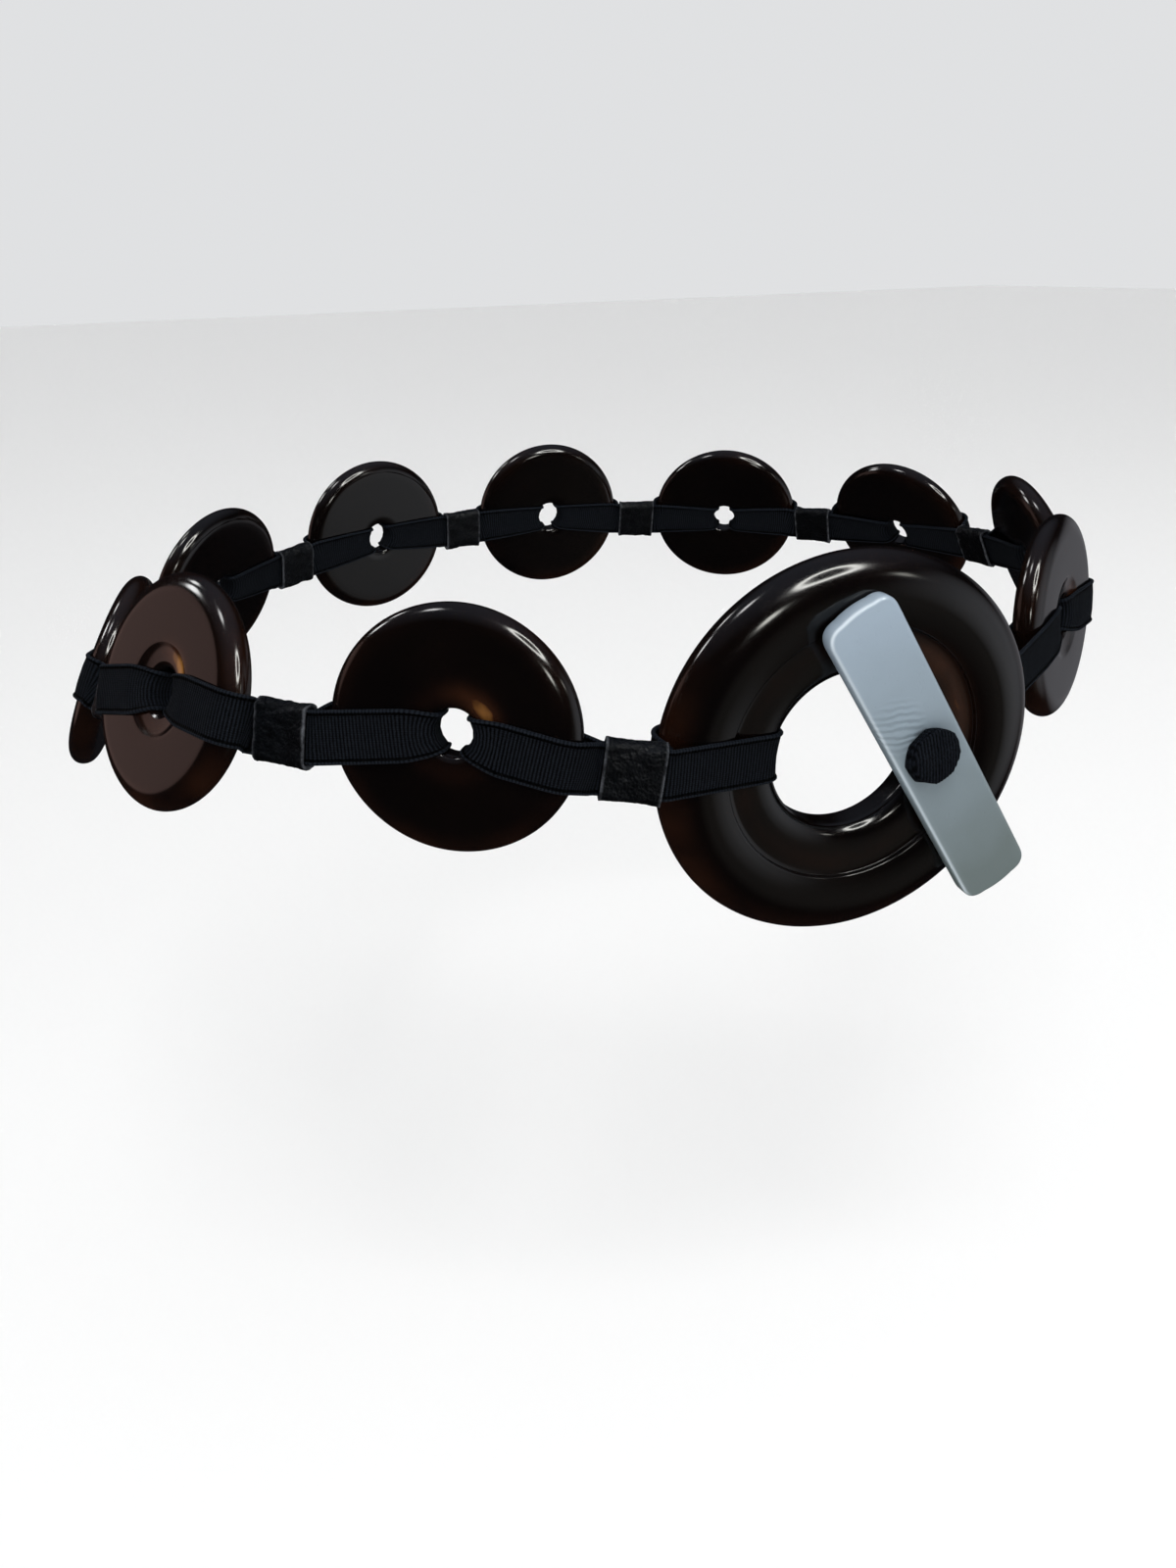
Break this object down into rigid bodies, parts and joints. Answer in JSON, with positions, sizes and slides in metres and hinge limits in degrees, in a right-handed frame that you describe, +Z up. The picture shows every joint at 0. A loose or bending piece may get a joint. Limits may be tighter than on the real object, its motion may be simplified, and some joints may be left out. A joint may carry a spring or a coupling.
{
  "type": "elastic belt",
  "caption": "Elastic belt in its worn form: glossy round discs joined by black elastic loops, closed at the front by a toggle bar in a large ring.",
  "frame": {"origin": "waist's centre at the height of the belt, inside the closed loop", "axes": "+Z up along the wearer's waist, -Y the front where the ring is, +X right as seen from the front; metres"},
  "size_m": [0.345, 0.2829, 0.1019],
  "materials": {
    "horn": "polished, near-black brown, slightly translucent at thin edges",
    "elastic": "ribbed matt elastic",
    "leather": "grained, semi-matt, pale cut edges",
    "toggle": "satin blue-grey with faint ripple marks"
  },
  "bodies": {
    "root": {"ring": "horn", "disc_1": "horn", "disc_2": "horn", "disc_3": "horn", "disc_4": "horn", "disc_5": "horn", "disc_6": "horn", "disc_7": "horn", "disc_8": "horn", "disc_9": "horn", "disc_10": "horn", "elastic_1": "elastic", "elastic_2": "elastic", "elastic_3": "elastic", "elastic_4": "elastic", "elastic_5": "elastic", "elastic_6": "elastic", "elastic_7": "elastic", "elastic_8": "elastic", "elastic_9": "elastic", "elastic_10": "elastic", "toggle_elastic": "elastic", "keeper_1": "leather", "keeper_2": "leather", "keeper_3": "leather", "keeper_4": "leather", "keeper_5": "leather", "keeper_6": "leather", "keeper_7": "leather", "keeper_8": "leather", "keeper_9": "leather", "keeper_10": "leather", "toggle_bar": "toggle", "toggle_knob": "elastic"}
  },
  "joints": []
}
